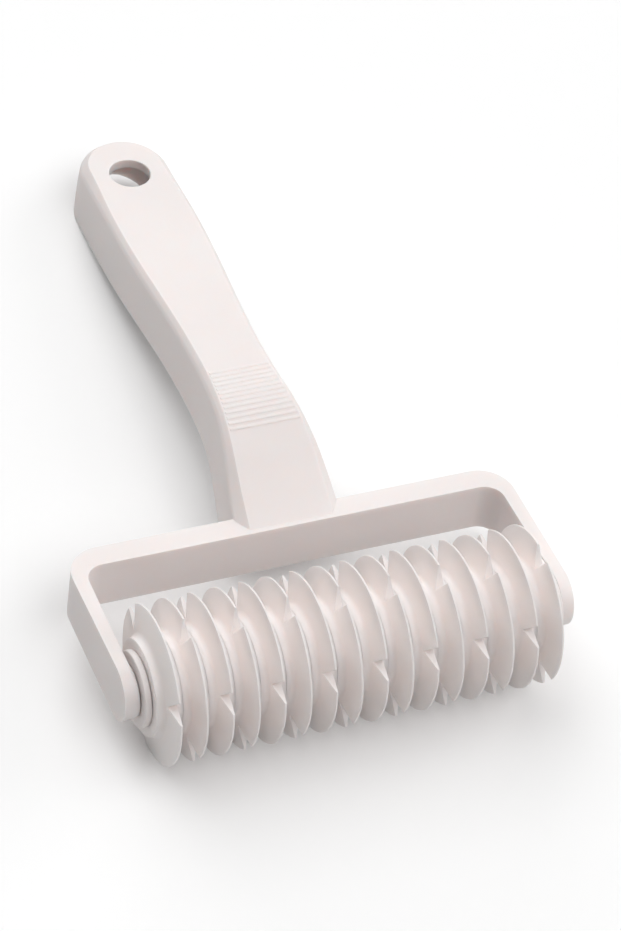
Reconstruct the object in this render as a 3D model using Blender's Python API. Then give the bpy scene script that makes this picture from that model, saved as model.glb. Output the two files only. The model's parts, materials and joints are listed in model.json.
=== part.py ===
"""Lattice pastry cutter: a hollow moulded handle with a yoke that carries a free-running roller.

The roller is a hexagonal axle with notched cutting discs between two end collars. Every disc is
the same moulding. Each one sits a sixth of a turn round from its neighbour on the hexagon, so the
V notches of one disc lie beside the blades of the next, and a sheet of dough is slit in staggered
dashes that pull open into a lattice.

The yoke and handle are modelled in the yoke's own frame: X runs across the yoke along the axle, Y
runs from the axle to the tip of the handle and Z is square to the yoke. An empty then tips that
frame about the axle, so that the part rests on the discs' rims and on the handle's tip.
"""

import math

import bmesh
import bpy
from mathutils import Vector

# Roller: cutting discs, axle and end collars
DISC_COUNT = 16
DISC_PITCH = 0.0068
RIM_RADIUS = 0.0205
RIM_LAND = 0.0005
BLADE_ROOT = 0.0030
HUB_RADIUS = 0.0125
NOTCH_COUNT = 3
NOTCH_WIDTH = 0.0062
NOTCH_FLOOR = 0.0016
NOTCH_ANGLE = math.radians(33.0)
AXLE_FLATS = 0.0080
JOURNAL_RADIUS = 0.0030
JOURNAL_LENGTH = 0.0026
JOURNAL_CHAMFER = 0.0004
COLLAR_RADIUS = 0.0098
COLLAR_THICKNESS = 0.0017
COLLAR_CHAMFER = 0.0003

# Clearance between separate pieces
SEAT_GAP = 0.0003

# Yoke: back bar, two arms and the bearing bosses inside them
ROLLER_CLEARANCE = 0.0156
BAR_THICKNESS = 0.0062
BAR_HEIGHT = 0.0145
ARM_TIP_HEIGHT = 0.0158
ARM_TIP_SETBACK = 0.0010
ARM_TIP_THICKNESS = 0.0031
ARM_ROOT_THICKNESS = 0.0037
OUTER_CORNER_RADIUS = 0.0090
INNER_CORNER_RADIUS = 0.0050
YOKE_EDGE_RADIUS = 0.0006
BOSS_RADIUS = 0.0069
BOSS_HEIGHT = 0.0009

# Handle seen from the side: the top panel climbs from the bar, bends and runs out to the tip
PANEL_SETBACK = 0.0013
RAMP_RUN = 0.0235
RAMP_RISE = 0.0161
TOP_BEND_RADIUS = 0.0350
HANDLE_LENGTH = 0.1279
HANDLE_FALL = 0.0019
BELLY_RUN = 0.0259
BELLY_BEND_RADIUS = 0.0300
DEPTH_AT_BEND = 0.0164
ARCH_DISTANCE = 0.0624
ARCH_RADIUS = 0.3000
DEPTH_AT_ARCH = 0.0154
DEPTH_AT_TIP = 0.0174
HEEL_LIFT = 0.0080
HEEL_RADIUS = 0.0150

# Handle seen from above, its edges and its hollow
ROOT_HALF_WIDTH = 0.0113
WAIST_HALF_WIDTH = 0.0085
WAIST_DISTANCE = 0.0485
SWELL_HALF_WIDTH = 0.0108
SWELL_DISTANCE = 0.1050
TIP_RADIUS = 0.0101
EDGE_FACET = 0.0015
ROOT_EDGE_FACET = 0.0031
ROOT_EDGE_LENGTH = 0.0300
TIP_EDGE_FACET = 0.0021
EDGE_SOFTENING = 0.0003
SIDE_DRAFT = math.radians(3.0)
WALL = 0.0027
SIDE_WALL = 0.0020
RIB_COUNT = 4
RIB_THICKNESS = 0.0016
RIB_RECESS = 0.0035
HOLE_RADIUS = 0.0056
HOLE_CHAMFER = 0.0003
HOLE_SETBACK = 0.0035

# Thumb grip across the bend of the top panel
THUMB_RIB_COUNT = 13
THUMB_RIB_PITCH = 0.00162
THUMB_RIB_WIDTH = 0.0009
THUMB_RIB_HEIGHT = 0.00025
THUMB_RIB_MARGIN = 0.0004
THUMB_RIB_START = 0.0226
THUMB_CREST_SHARE = 0.5

# How far a tool runs past the surface that it opens, and how finely round forms are stepped
OVERRUN = 0.0020
DISC_STEPS = 36
ROUND_STEPS = 24
CORNER_STEPS = 6
SIDE_STEPS = 30
TIP_STEPS = 8

# Places along the axle, from the middle of the roller
COLLAR_INNER = DISC_COUNT * DISC_PITCH / 2 + SEAT_GAP / 2
COLLAR_OUTER = COLLAR_INNER + COLLAR_THICKNESS
BOSS_END = COLLAR_OUTER + SEAT_GAP
ARM_INNER = BOSS_END + BOSS_HEIGHT
ARM_OUTER = ARM_INNER + ARM_TIP_THICKNESS
JOURNAL_END = COLLAR_OUTER + JOURNAL_LENGTH

# Places along the yoke and the handle, from the axle
BAR_FRONT = RIM_RADIUS + ROLLER_CLEARANCE
BAR_REAR = BAR_FRONT + BAR_THICKNESS
BAR_TOP = BAR_HEIGHT / 2
PANEL_START = BAR_FRONT + PANEL_SETBACK
TIP_CENTRE = PANEL_START + HANDLE_LENGTH
TIP_REACH = TIP_CENTRE + TIP_RADIUS + TIP_EDGE_FACET + DEPTH_AT_TIP * math.tan(SIDE_DRAFT)
HOLE_PLACE = TIP_CENTRE - HOLE_SETBACK


def clear_scene():
    """Remove whatever the file holds before the part is built."""
    for item in list(bpy.data.objects):
        bpy.data.objects.remove(item, do_unlink=True)


def plastic(name, colour, roughness):
    """Make a plain moulded plastic material."""
    material = bpy.data.materials.new(name)
    material.use_nodes = True
    shader = material.node_tree.nodes["Principled BSDF"]
    shader.inputs["Base Color"].default_value = (*colour, 1.0)
    shader.inputs["Roughness"].default_value = roughness
    shader.inputs["Metallic"].default_value = 0.0
    material.diffuse_color = (*colour, 1.0)
    return material


def empty(name, parent=None):
    """Add an empty that other objects hang from."""
    item = bpy.data.objects.new(name, None)
    bpy.context.collection.objects.link(item)
    item.parent = parent
    return item


def add_object(name, mesh, parent, material=None):
    """Put a mesh in the scene under its parent, with its material."""
    item = bpy.data.objects.new(name, mesh)
    bpy.context.collection.objects.link(item)
    item.parent = parent
    if material is not None:
        mesh.materials.clear()
        mesh.materials.append(material)
    return item


def cutter(name, mesh, parent=None):
    """Put a mesh in the scene as a tool for Boolean modifiers only."""
    item = add_object(name, mesh, parent)
    item.hide_render = True
    item.display_type = "WIRE"
    return item


def combine(target, tool, operation):
    """Cut, join or intersect the target with a tool object."""
    step = target.modifiers.new(operation.title() + "_" + tool.name, "BOOLEAN")
    step.operation = operation
    step.solver = "EXACT"
    step.object = tool


def settled_mesh(item, name):
    """Mesh of an object with its modifiers worked in."""
    graph = bpy.context.evaluated_depsgraph_get()
    mesh = bpy.data.meshes.new_from_object(item.evaluated_get(graph))
    mesh.name = name
    return mesh


def smooth(mesh, limit=math.radians(30)):
    """Shade a mesh smooth, apart from its sharp edges."""
    mesh.shade_smooth()
    mesh.set_sharp_from_angle(angle=limit)


def closed_mesh(name, form):
    """Turn a finished bmesh into a mesh whose faces point outwards."""
    bmesh.ops.recalc_face_normals(form, faces=form.faces)
    mesh = bpy.data.meshes.new(name)
    form.to_mesh(mesh)
    form.free()
    return mesh


def mesh_from(name, points, faces):
    """Make a mesh from its corners and faces."""
    form = bmesh.new()
    corners = [form.verts.new(point) for point in points]
    for face in faces:
        form.faces.new([corners[index] for index in face])
    return closed_mesh(name, form)


def prism(name, outline, direction, start, end):
    """Extrude a flat outline from start to end along X (0), Y (1) or Z (2)."""
    points = []
    for level in (start, end):
        for first, second in outline:
            point = [first, second]
            point.insert(direction, level)
            points.append(point)
    count = len(outline)
    faces = [list(range(count)), list(range(count, 2 * count))]
    for index in range(count):
        after = (index + 1) % count
        faces.append([index, after, count + after, count + index])
    return mesh_from(name, points, faces)


def turned(name, profile, direction, steps):
    """Spin a line of (along, radius) corners round X (0) or Z (2).

    A line that starts and ends on the axis gives a solid, and any other line is closed into a ring.
    """
    form = bmesh.new()
    corners = []
    for along, radius in profile:
        place = (along, 0, radius) if direction == 0 else (radius, 0, along)
        corners.append(form.verts.new(place))
    pairs = list(zip(corners, corners[1:]))
    if profile[0][1] > 0:
        pairs.append((corners[-1], corners[0]))
    edges = [form.edges.new(pair) for pair in pairs]
    axis = (1, 0, 0) if direction == 0 else (0, 0, 1)
    bmesh.ops.spin(form, geom=corners + edges, cent=(0, 0, 0), axis=axis,
                   angle=math.tau, steps=steps, use_merge=True)
    bmesh.ops.remove_doubles(form, verts=form.verts, dist=SEAT_GAP / ROUND_STEPS)
    return closed_mesh(name, form)


def joined(name, meshes):
    """Gather meshes that stand apart into one mesh."""
    form = bmesh.new()
    for mesh in meshes:
        form.from_mesh(mesh)
    return closed_mesh(name, form)


def both_sides(mesh):
    """Add the mirror image of a mesh on the other side of the middle."""
    form = bmesh.new()
    form.from_mesh(mesh)
    copy = bmesh.ops.duplicate(form, geom=form.verts[:] + form.edges[:] + form.faces[:])
    for corner in copy["geom"]:
        if isinstance(corner, bmesh.types.BMVert):
            corner.co.x = -corner.co.x
    return closed_mesh(mesh.name, form)


def arc(centre, radius, start, end, steps):
    """Points on an arc, both ends included."""
    turns = [start + (end - start) * step / steps for step in range(steps + 1)]
    return [(centre[0] + radius * math.cos(turn), centre[1] + radius * math.sin(turn))
            for turn in turns]


def hexagon(across_flats):
    """Corners of a hexagon, two of them straight above and below the axis."""
    radius = across_flats / 2 / math.cos(math.pi / 6)
    return arc((0, 0), radius, math.pi / 2, math.pi / 2 + math.tau, 6)[:-1]


def rounded_line(corners, radii):
    """Round the inner corners of an open line with arcs that touch both of their sides."""
    line = [corners[0]]
    for before, corner, after, radius in zip(corners, corners[1:], corners[2:], radii):
        corner_point = Vector(corner)
        to_before = (Vector(before) - corner_point).normalized()
        to_after = (Vector(after) - corner_point).normalized()
        half = to_before.angle(to_after) / 2
        centre = corner_point + (to_before + to_after).normalized() * radius / math.sin(half)
        first = corner_point + to_before * radius / math.tan(half) - centre
        last = corner_point + to_after * radius / math.tan(half) - centre
        sweep = first.angle(last)
        for step in range(CORNER_STEPS + 1):
            share = step / CORNER_STEPS
            point = first * math.sin((1 - share) * sweep) + last * math.sin(share * sweep)
            line.append(tuple(centre + point / math.sin(sweep)))
    line.append(corners[-1])
    return line


def height_at(line, along):
    """Height of a side-view line at a distance from the axle."""
    for (near, low), (far, high) in zip(line, line[1:]):
        if along <= far:
            return low + (high - low) * (along - near) / (far - near)
    return line[-1][1]


def ease(share):
    """Smooth change from 0 to 1 with level ends."""
    limited = min(max(share, 0), 1)
    return (1 - math.cos(math.pi * limited)) / 2


def top_line():
    """Side view of the top panel, as (distance from the axle, height), begun inside the bar."""
    bend = (PANEL_START + RAMP_RUN, BAR_TOP + RAMP_RISE)
    slope = RAMP_RISE / RAMP_RUN
    start = (PANEL_START - PANEL_SETBACK / 2, BAR_TOP - slope * PANEL_SETBACK / 2)
    end = (TIP_REACH, bend[1] - HANDLE_FALL)
    return rounded_line([start, bend, end], [TOP_BEND_RADIUS])


def underside_line():
    """Side view of the handle's lower edge, from inside the bar to the tip."""
    top = top_line()
    foot = -BAR_TOP + YOKE_EDGE_RADIUS
    bend = BAR_REAR + BELLY_RUN
    arch = BAR_REAR + ARCH_DISTANCE
    heel = TIP_REACH - HEEL_LIFT
    heel_height = height_at(top, heel) - DEPTH_AT_TIP
    corners = [
        (BAR_REAR, foot),
        (bend, BAR_TOP + RAMP_RISE - DEPTH_AT_BEND),
        (arch, height_at(top, arch) - DEPTH_AT_ARCH),
        (heel, heel_height),
        (TIP_REACH + OVERRUN, heel_height + HEEL_LIFT + OVERRUN),
    ]
    climb = rounded_line(corners, [BELLY_BEND_RADIUS, ARCH_RADIUS, HEEL_RADIUS])
    return [(BAR_FRONT, foot)] + climb


def half_width(along):
    """Half the width of the flat top panel at a distance from the axle."""
    waist = PANEL_START + WAIST_DISTANCE
    swell = PANEL_START + SWELL_DISTANCE
    if along < waist:
        share = ease((along - PANEL_START) / WAIST_DISTANCE)
        return ROOT_HALF_WIDTH + (WAIST_HALF_WIDTH - ROOT_HALF_WIDTH) * share
    if along < swell:
        share = ease((along - waist) / (swell - waist))
        return WAIST_HALF_WIDTH + (SWELL_HALF_WIDTH - WAIST_HALF_WIDTH) * share
    share = ease((along - swell) / (TIP_CENTRE - swell))
    return SWELL_HALF_WIDTH + (TIP_RADIUS - SWELL_HALF_WIDTH) * share


def edge_facet(along):
    """Reach of the facet along the panel's edges, which opens out towards the yoke and the tip."""
    swell = PANEL_START + SWELL_DISTANCE
    root_opening = (ROOT_EDGE_FACET - EDGE_FACET) * ease((PANEL_START + ROOT_EDGE_LENGTH - along)
                                                         / ROOT_EDGE_LENGTH)
    tip_opening = (TIP_EDGE_FACET - EDGE_FACET) * ease((along - swell) / (TIP_CENTRE - swell))
    return EDGE_FACET + root_opening + tip_opening


def panel_stations(start):
    """Places on the panel's edge and their outward directions, down one side to the tip's end."""
    stations = []
    for step in range(SIDE_STEPS):
        along = start + (TIP_CENTRE - start) * step / SIDE_STEPS
        stations.append((half_width(along), along, 1, 0))
    for step in range(TIP_STEPS):
        turn = math.pi / 2 * step / TIP_STEPS
        across = math.cos(turn)
        ahead = math.sin(turn)
        stations.append((TIP_RADIUS * across, TIP_CENTRE + TIP_RADIUS * ahead, across, ahead))
    stations.append((0, TIP_CENTRE + TIP_RADIUS, 0, 1))
    return stations


def side_column(station, lines, inset, overrun):
    """Points from the panel's edge down the side to its foot at one station."""
    width, along, across, ahead = station
    top, under = lines
    facet = edge_facet(along)
    crest = height_at(top, along) - inset
    if inset > 0:
        side = facet - SIDE_WALL
        flat = min(side, inset - SIDE_WALL * math.sqrt(2))
        column = [(flat - EDGE_SOFTENING, crest), (side, crest - side + flat - EDGE_SOFTENING)]
    else:
        flat = facet - EDGE_SOFTENING
        column = [(0, crest), (flat, crest - flat), (facet, crest - facet - EDGE_SOFTENING)]
    out, shoulder = column[-1]
    foot = height_at(under, along + ahead * out)
    out += (shoulder - foot) * math.tan(SIDE_DRAFT)
    column.append((out, height_at(under, along + ahead * out) - overrun))
    return [(width + across * out, along + ahead * out, level) for out, level in column]


def handle_form(name, start, inset=0, overrun=0):
    """Loft the handle's outer form, or its hollow when the inset is the wall's thickness.

    The columns run down one side, round the tip and back up the other side, and strips across
    the handle close the top panel and the underside.
    """
    lines = (top_line(), underside_line())
    columns = [side_column(station, lines, inset, overrun) for station in panel_stations(start)]
    columns += [[(-x, y, z) for x, y, z in column] for column in reversed(columns[:-1])]
    depth = len(columns[0])
    last = len(columns) - 1
    faces = []
    for index in range(last):
        for level in range(depth - 1):
            corner = index * depth + level
            faces.append([corner, corner + 1, corner + depth + 1, corner + depth])
    for level in (0, depth - 1):
        for index in range(last // 2):
            strip = dict.fromkeys([index, index + 1, last - index - 1, last - index])
            faces.append([item * depth + level for item in strip])
    faces.append(list(range(depth)) + [last * depth + level for level in reversed(range(depth))])
    return mesh_from(name, [point for column in columns for point in column], faces)


def yoke_plan():
    """Outline of the yoke seen from above, with arms that thin towards the axle."""
    end = -ARM_TIP_HEIGHT / 2 - OVERRUN
    outer = OUTER_CORNER_RADIUS
    inner = INNER_CORNER_RADIUS
    root = ARM_OUTER - ARM_ROOT_THICKNESS
    outer_right = [(ARM_OUTER, end)]
    outer_right += arc((ARM_OUTER - outer, BAR_REAR - outer), outer, 0, math.pi / 2, CORNER_STEPS)
    outer_left = [(-x, y) for x, y in reversed(outer_right)]
    inner_left = [(-ARM_INNER, end)]
    inner_left += arc((inner - root, BAR_FRONT - inner), inner, math.pi, math.pi / 2, CORNER_STEPS)
    inner_right = [(-x, y) for x, y in reversed(inner_left)]
    return outer_right + outer_left + inner_left + inner_right


def yoke_side():
    """Outline of the yoke seen from the side: a strap with round ends near the axle."""
    back = BAR_REAR + OVERRUN
    middle = (ARM_TIP_SETBACK, 0)
    nose = arc(middle, ARM_TIP_HEIGHT / 2, math.pi * 3 / 2, math.pi / 2, 2 * CORNER_STEPS)
    strap = [(BAR_FRONT, BAR_TOP), (back, BAR_TOP), (back, -BAR_TOP), (BAR_FRONT, -BAR_TOP)]
    return nose + strap


def boss_form():
    """Bearing bosses on the inner faces of the two arms."""
    inside = ARM_INNER + ARM_TIP_THICKNESS / 2
    line = [(BOSS_END, 0), (BOSS_END, BOSS_RADIUS), (inside, BOSS_RADIUS), (inside, 0)]
    return both_sides(turned("boss_tool", line, 0, ROUND_STEPS))


def socket_form():
    """Blind sockets that the axle's journals turn in."""
    radius = JOURNAL_RADIUS + SEAT_GAP
    mouth = BOSS_END - OVERRUN
    bottom = JOURNAL_END + SEAT_GAP
    line = [(mouth, 0), (mouth, radius), (bottom, radius), (bottom, 0)]
    return both_sides(turned("socket_tool", line, 0, ROUND_STEPS))


def hole_form():
    """Hanging hole through the top panel, with a chamfered mouth."""
    crest = height_at(top_line(), HOLE_PLACE)
    bottom = crest - WALL - OVERRUN
    mouth = crest + OVERRUN
    line = [
        (bottom, 0),
        (bottom, HOLE_RADIUS),
        (crest - HOLE_CHAMFER, HOLE_RADIUS),
        (mouth, HOLE_RADIUS + HOLE_CHAMFER + OVERRUN),
        (mouth, 0),
    ]
    mesh = turned("hole_tool", line, 2, ROUND_STEPS)
    for corner in mesh.vertices:
        corner.co.y += HOLE_PLACE
    return mesh


def hollow_tool(parent):
    """The hollow under the handle, less the ribs that cross it."""
    start = BAR_REAR + WALL
    hollow = cutter("hollow_tool", handle_form("hollow_tool", start, WALL, OVERRUN), parent)
    lines = (top_line(), underside_line())
    reach = HOLE_PLACE - HOLE_RADIUS - WALL - start
    width = ROOT_HALF_WIDTH + ROOT_EDGE_FACET + OVERRUN
    slabs = []
    for index in range(RIB_COUNT):
        middle = start + reach * (index + 1) / RIB_COUNT
        near = middle - RIB_THICKNESS / 2
        far = middle + RIB_THICKNESS / 2
        top = max(height_at(lines[0], near), height_at(lines[0], far)) + OVERRUN
        foot = max(height_at(lines[1], near), height_at(lines[1], far)) + RIB_RECESS
        outline = [(-width, foot), (width, foot), (width, top), (-width, top)]
        slabs.append(prism("rib_slab", outline, 1, near, far))
    combine(hollow, cutter("rib_tool", joined("rib_tool", slabs), parent), "DIFFERENCE")
    return hollow


def thumb_rib_form():
    """Low ribs across the bend of the top panel, which the thumb presses on."""
    top = top_line()
    half = THUMB_RIB_WIDTH / 2
    crest = half * THUMB_CREST_SHARE
    ribs = []
    for index in range(THUMB_RIB_COUNT):
        middle = PANEL_START + THUMB_RIB_START + index * THUMB_RIB_PITCH
        reach = half_width(middle) - THUMB_RIB_MARGIN
        outline = []
        for offset, lift in ((-half, -THUMB_RIB_HEIGHT), (-crest, THUMB_RIB_HEIGHT),
                             (crest, THUMB_RIB_HEIGHT), (half, -THUMB_RIB_HEIGHT)):
            outline.append((middle + offset, height_at(top, middle + offset) + lift))
        ribs.append(prism("thumb_rib", outline, 0, -reach, reach))
    return joined("thumb_rib_tool", ribs)


def add_handle_frame(parent, material):
    """The one-piece moulding: yoke, bearing bosses, hollow handle and thumb grip."""
    height = ARM_TIP_HEIGHT
    frame = add_object("handle_frame", prism("handle_frame", yoke_plan(), 2, -height, height),
                       parent, material)
    side = prism("strap_tool", yoke_side(), 0, -ARM_OUTER - OVERRUN, ARM_OUTER + OVERRUN)
    combine(frame, cutter("strap_tool", side, parent), "INTERSECT")
    edges = frame.modifiers.new("rounded_edges", "BEVEL")
    edges.width = YOKE_EDGE_RADIUS
    edges.segments = 1
    edges.limit_method = "ANGLE"
    edges.angle_limit = math.radians(40)
    handle = cutter("handle_tool", handle_form("handle_tool", top_line()[0][0]), parent)
    combine(frame, handle, "UNION")
    combine(frame, cutter("boss_tool", boss_form(), parent), "UNION")
    combine(frame, cutter("thumb_rib_tool", thumb_rib_form(), parent), "UNION")
    combine(frame, hollow_tool(parent), "DIFFERENCE")
    combine(frame, cutter("hole_tool", hole_form(), parent), "DIFFERENCE")
    combine(frame, cutter("socket_tool", socket_form(), parent), "DIFFERENCE")
    return handle.data


def bore_tool():
    """Hexagonal bore that slides onto the axle."""
    reach = DISC_PITCH + COLLAR_THICKNESS
    return cutter("bore_tool", prism("bore_tool", hexagon(AXLE_FLATS + 2 * SEAT_GAP), 0,
                                     -reach, reach))


def notch_tool():
    """V-shaped wedges that cut the blade down to a little above its hub."""
    floor = HUB_RADIUS + NOTCH_FLOOR
    reach = RIM_RADIUS + OVERRUN
    spread = NOTCH_WIDTH / 2 * (reach - floor) / (RIM_RADIUS - floor)
    wedges = []
    for index in range(NOTCH_COUNT):
        turn = NOTCH_ANGLE + math.tau * index / NOTCH_COUNT
        out = Vector((-math.cos(turn), math.sin(turn)))
        aside = Vector((out.y, -out.x))
        outline = [out * floor, out * reach + aside * spread, out * reach - aside * spread]
        wedges.append(prism("notch_wedge", [tuple(point) for point in outline], 0,
                            -BLADE_ROOT, BLADE_ROOT))
    return cutter("notch_tool", joined("notch_tool", wedges))


def disc_mesh():
    """One cutting disc: a long hub with a tapered, notched blade round its middle."""
    hub = (DISC_PITCH - SEAT_GAP) / 2
    pilot = AXLE_FLATS / 4
    line = [
        (-hub, pilot),
        (-hub, HUB_RADIUS),
        (-BLADE_ROOT / 2, HUB_RADIUS),
        (-RIM_LAND / 2, RIM_RADIUS),
        (RIM_LAND / 2, RIM_RADIUS),
        (BLADE_ROOT / 2, HUB_RADIUS),
        (hub, HUB_RADIUS),
        (hub, pilot),
    ]
    blank = cutter("disc_blank", turned("disc_blank", line, 0, DISC_STEPS))
    combine(blank, bore_tool(), "DIFFERENCE")
    combine(blank, notch_tool(), "DIFFERENCE")
    mesh = settled_mesh(blank, "cutting_disc")
    smooth(mesh)
    return mesh


def add_discs(parent, material):
    """Thread the discs on the axle, each turned a sixth of a turn from the last."""
    mesh = disc_mesh()
    first = -(DISC_COUNT - 1) * DISC_PITCH / 2
    for index in range(DISC_COUNT):
        disc = add_object(f"cutting_disc_{index + 1:02d}", mesh, parent, material)
        disc.location.x = first + index * DISC_PITCH
        disc.rotation_euler.x = (index % 2) * math.pi / NOTCH_COUNT


def add_axle(parent, material):
    """Hexagonal axle with a round journal at each end."""
    axle = add_object("hex_axle", prism("hex_axle", hexagon(AXLE_FLATS), 0, -COLLAR_OUTER,
                                        COLLAR_OUTER), parent, material)
    inside = COLLAR_OUTER - OVERRUN
    line = [
        (inside, 0),
        (inside, JOURNAL_RADIUS),
        (JOURNAL_END - JOURNAL_CHAMFER, JOURNAL_RADIUS),
        (JOURNAL_END, JOURNAL_RADIUS - JOURNAL_CHAMFER),
        (JOURNAL_END, 0),
    ]
    journals = both_sides(turned("journal_tool", line, 0, ROUND_STEPS))
    combine(axle, cutter("journal_tool", journals, parent), "UNION")


def add_collars(parent, material):
    """End collars that keep the discs on the axle and run against the bosses."""
    half = COLLAR_THICKNESS / 2
    pilot = AXLE_FLATS / 4
    outer = COLLAR_RADIUS
    line = [
        (-half, pilot),
        (-half, outer - COLLAR_CHAMFER),
        (COLLAR_CHAMFER - half, outer),
        (half - COLLAR_CHAMFER, outer),
        (half, outer - COLLAR_CHAMFER),
        (half, pilot),
    ]
    blank = cutter("collar_blank", turned("collar_blank", line, 0, DISC_STEPS))
    combine(blank, bpy.data.objects["bore_tool"], "DIFFERENCE")
    mesh = settled_mesh(blank, "end_collar")
    smooth(mesh)
    for name, side in (("left_end_collar", -1), ("right_end_collar", 1)):
        collar = add_object(name, mesh, parent, material)
        collar.location.x = side * (COLLAR_INNER + half)


def resting_tilt(mesh):
    """Angle at which the handle, dropped about the axle, meets the floor under the rims."""
    tilts = []
    for corner in mesh.vertices:
        distance = math.hypot(corner.co.y, corner.co.z)
        if corner.co.y > BAR_REAR and distance > RIM_RADIUS:
            tilts.append(-math.asin(RIM_RADIUS / distance) - math.atan2(corner.co.z, corner.co.y))
    return max(tilts)


def stand_on_origin(root):
    """Bring the middle of the part's footprint to the origin, at floor level."""
    graph = bpy.context.evaluated_depsgraph_get()
    reach = []
    for item in graph.objects:
        if item.type == "MESH" and not item.hide_render:
            reach += [(item.matrix_world @ corner.co).y for corner in item.data.vertices]
    root.location.y -= (min(reach) + max(reach)) / 2


def build():
    """Build the whole part."""
    clear_scene()
    frame_plastic = plastic("frame_plastic", (0.84, 0.81, 0.80), 0.38)
    disc_plastic = plastic("disc_plastic", (0.83, 0.80, 0.79), 0.35)
    axle_plastic = plastic("axle_plastic", (0.80, 0.78, 0.77), 0.40)
    collar_plastic = plastic("collar_plastic", (0.82, 0.79, 0.78), 0.38)
    root = empty("resting_part")
    root.location.z = RIM_RADIUS
    yoke_frame = empty("yoke_frame", root)
    roller_axis = empty("roller_axis", root)
    handle = add_handle_frame(yoke_frame, frame_plastic)
    yoke_frame.rotation_euler.x = resting_tilt(handle)
    add_discs(roller_axis, disc_plastic)
    add_axle(roller_axis, axle_plastic)
    add_collars(roller_axis, collar_plastic)
    stand_on_origin(root)


build()
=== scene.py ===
"""Lattice pastry cutter, dressed: a moulded handle and yoke that carry a roller of notched discs.

The handle and yoke are modelled in the yoke's own frame: X runs along the axle, Y runs from the
axle to the tip of the handle and Z is square to the yoke. The finished moulding is then tipped
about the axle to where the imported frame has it. Discs and collars are modelled round the X axis
and moved out along the axle. All sizes are in metres.
"""

import json
import logging
import math
from collections.abc import Callable, Iterator, Sequence
from dataclasses import dataclass
from enum import Enum

import bmesh
import bpy
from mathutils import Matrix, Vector


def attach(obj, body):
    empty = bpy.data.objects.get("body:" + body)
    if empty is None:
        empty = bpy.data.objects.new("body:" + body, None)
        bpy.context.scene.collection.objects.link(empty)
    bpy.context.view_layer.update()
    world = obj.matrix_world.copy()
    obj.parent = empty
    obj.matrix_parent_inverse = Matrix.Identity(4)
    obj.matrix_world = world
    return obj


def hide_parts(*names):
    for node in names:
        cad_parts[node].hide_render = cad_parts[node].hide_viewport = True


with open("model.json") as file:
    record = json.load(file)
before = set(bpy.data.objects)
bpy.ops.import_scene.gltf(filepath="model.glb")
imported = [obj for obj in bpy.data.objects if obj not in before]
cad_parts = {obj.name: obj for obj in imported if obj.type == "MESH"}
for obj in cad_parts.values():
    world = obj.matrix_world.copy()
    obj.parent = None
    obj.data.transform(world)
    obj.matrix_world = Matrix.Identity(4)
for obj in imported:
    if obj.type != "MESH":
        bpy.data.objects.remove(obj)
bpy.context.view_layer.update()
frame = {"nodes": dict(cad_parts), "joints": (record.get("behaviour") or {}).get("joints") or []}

LOG = logging.getLogger("pastry_cutter")
TINY = 1e-6
SEAT_GAP = 0.0003
OVERRUN = 0.0020
SHARP_TURN = math.radians(32.0)
FLAT_WEIGHT = 80
AXLE_PLACE = Vector(frame["joints"][0]["pos_m"])
RESTING_TILT = math.radians(-8.650)

Piece = bpy.types.Object
Tree = bpy.types.NodeTree
Socket = bpy.types.NodeSocket
Test = Callable[[Vector], bool]
Triple = tuple[float, float, float]
Places = Sequence[Sequence[float]]
Line = list[tuple[float, float]]


class Body(Enum):
    """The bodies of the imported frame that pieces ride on."""

    HANDLE = "handle"
    ROLLER = "roller"


class Slot(Enum):
    """The record's material slots."""

    FRAME = "frame_plastic"
    DISC = "disc_plastic"
    AXLE = "axle_plastic"
    COLLAR = "collar_plastic"


class Cut(Enum):
    """What a tool does to the piece that it meets."""

    JOIN = "UNION"
    REMOVE = "DIFFERENCE"
    KEEP = "INTERSECT"


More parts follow.
